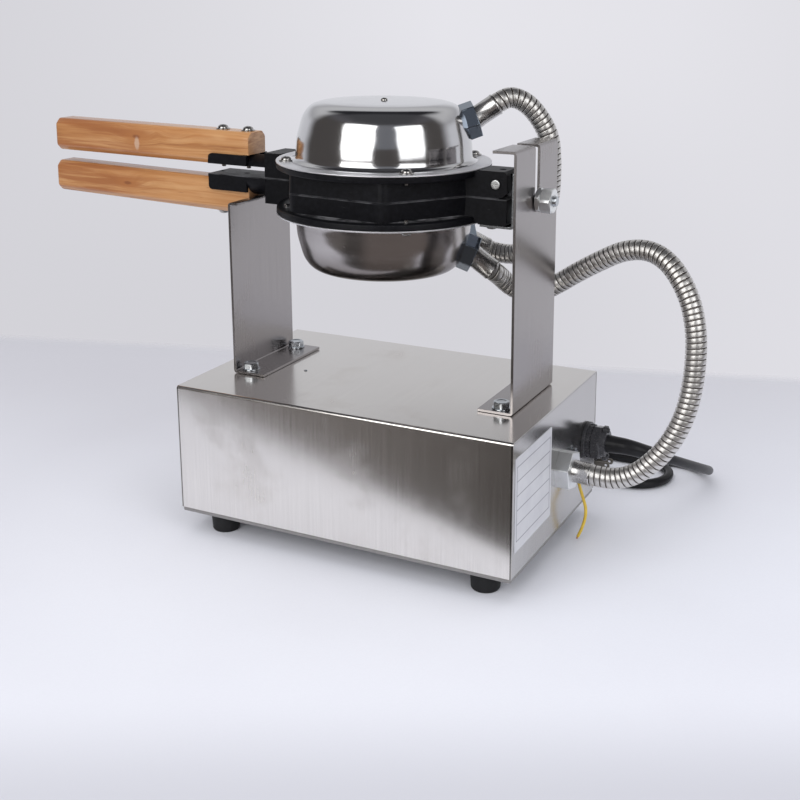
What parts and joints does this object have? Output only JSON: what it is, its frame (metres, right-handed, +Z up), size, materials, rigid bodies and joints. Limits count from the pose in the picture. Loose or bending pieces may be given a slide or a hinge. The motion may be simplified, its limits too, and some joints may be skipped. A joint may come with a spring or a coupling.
{
  "type": "bubble waffle maker",
  "caption": "Countertop bubble waffle maker: a stainless box base with two uprights that carry a pair of round cast pans, which open on a hinge and turn over about a bolt.",
  "frame": {"origin": "on the table, under the middle of the object's box without its cord", "axes": "+Z up; +X towards the hinge, conduit and cord end; -X along the handles; +Y towards the side with the controls"},
  "size_m": [0.6934, 0.3798, 0.4293],
  "materials": {
    "brushed_stainless": "fine vertical brushing, satin",
    "polished_stainless": "mirror polish with faint scratches",
    "zinc_plated_steel": "bright zinc plating, slightly blue",
    "black_coated_casting": "satin black non-stick coating over a casting",
    "varnished_wood": "clear satin varnish on reddish-brown wood",
    "black_rubber": "matte",
    "black_plastic": "satin black",
    "cord_sheath": "glossy black cord sheath",
    "steel_conduit": "bright spiral-wound strip",
    "yellow_wire": "satin yellow insulation",
    "label_paper": "blank satin label",
    "red_lens": "glossy translucent red",
    "heater_and_switch_bodies": "dull dark metal"
  },
  "bodies": {
    "base": {"housing": "brushed_stainless", "bottom_plate": "brushed_stainless", "foot_1": "black_rubber", "foot_2": "black_rubber", "foot_3": "black_rubber", "foot_4": "black_rubber", "left_upright": "brushed_stainless", "right_upright": "brushed_stainless", "upright_bolt_1": "zinc_plated_steel", "upright_bolt_2": "zinc_plated_steel", "upright_bolt_3": "zinc_plated_steel", "upright_bolt_4": "zinc_plated_steel", "rating_label": "label_paper", "earth_stud": "zinc_plated_steel", "earth_wire": "yellow_wire", "cable_gland": "black_plastic", "power_cord": "cord_sheath", "cord_hank": "cord_sheath", "plug": "cord_sheath", "base_conduit_fitting": "zinc_plated_steel", "main_conduit": "steel_conduit", "thermostat_body": "heater_and_switch_bodies", "timer_body": "heater_and_switch_bodies", "switch_bezel": "black_plastic", "pilot_lamp": "red_lens"},
    "lower_head": {"lower_pan": "black_coated_casting", "hinge_pin": "zinc_plated_steel", "lower_ring": "polished_stainless", "lower_heater_cover": "polished_stainless", "lower_ring_screw_1": "zinc_plated_steel", "lower_ring_screw_2": "zinc_plated_steel", "lower_ring_screw_3": "zinc_plated_steel", "lower_ring_screw_4": "zinc_plated_steel", "lower_heater": "heater_and_switch_bodies", "lower_main_fitting": "zinc_plated_steel", "lower_link_fitting": "zinc_plated_steel", "link_conduit": "steel_conduit", "pivot_bracket": "zinc_plated_steel", "bracket_screw": "zinc_plated_steel", "pivot_bolt": "zinc_plated_steel", "jam_nut": "zinc_plated_steel", "pivot_nut": "zinc_plated_steel", "lower_handle": "varnished_wood", "lower_handle_screw_1": "zinc_plated_steel", "lower_handle_screw_2": "zinc_plated_steel"},
    "lid": {"upper_pan": "black_coated_casting", "upper_ring": "polished_stainless", "upper_heater_cover": "polished_stainless", "upper_ring_screw_1": "zinc_plated_steel", "upper_ring_screw_2": "zinc_plated_steel", "upper_ring_screw_3": "zinc_plated_steel", "upper_ring_screw_4": "zinc_plated_steel", "upper_heater": "heater_and_switch_bodies", "upper_link_fitting": "zinc_plated_steel", "upper_handle": "varnished_wood", "upper_handle_screw_1": "zinc_plated_steel", "upper_handle_screw_2": "zinc_plated_steel"},
    "thermostat_dial": {"thermostat_knob": "black_plastic"},
    "timer_dial": {"timer_knob": "black_plastic"},
    "rocker": {"power_rocker": "red_lens"}
  },
  "joints": [
    {"name": "pan_flip", "type": "hinge", "parent": "base", "child": "lower_head", "pos_m": [0.20424, -0.0091, 0.336], "axis": [-0.9999, 0, 0.0148], "range_deg": [-180, 0], "deforming": ["main_conduit"]},
    {"name": "lid_open", "type": "hinge", "parent": "lower_head", "child": "lid", "pos_m": [0.16344, -0.0091, 0.34961], "axis": [0, 1, 0], "range_deg": [0, 75], "deforming": ["link_conduit"]},
    {"name": "thermostat_turn", "type": "hinge", "parent": "base", "child": "thermostat_dial", "pos_m": [-0.05976, 0.102, 0.088], "axis": [0, -1, 0], "range_deg": [0, 270]},
    {"name": "timer_turn", "type": "hinge", "parent": "base", "child": "timer_dial", "pos_m": [0.01824, 0.102, 0.088], "axis": [0, -1, 0], "range_deg": [0, 300]},
    {"name": "rocker_tip", "type": "hinge", "parent": "base", "child": "rocker", "pos_m": [0.10024, 0.1044, 0.088], "axis": [0, 0, 1], "range_deg": [0, 15]}
  ]
}
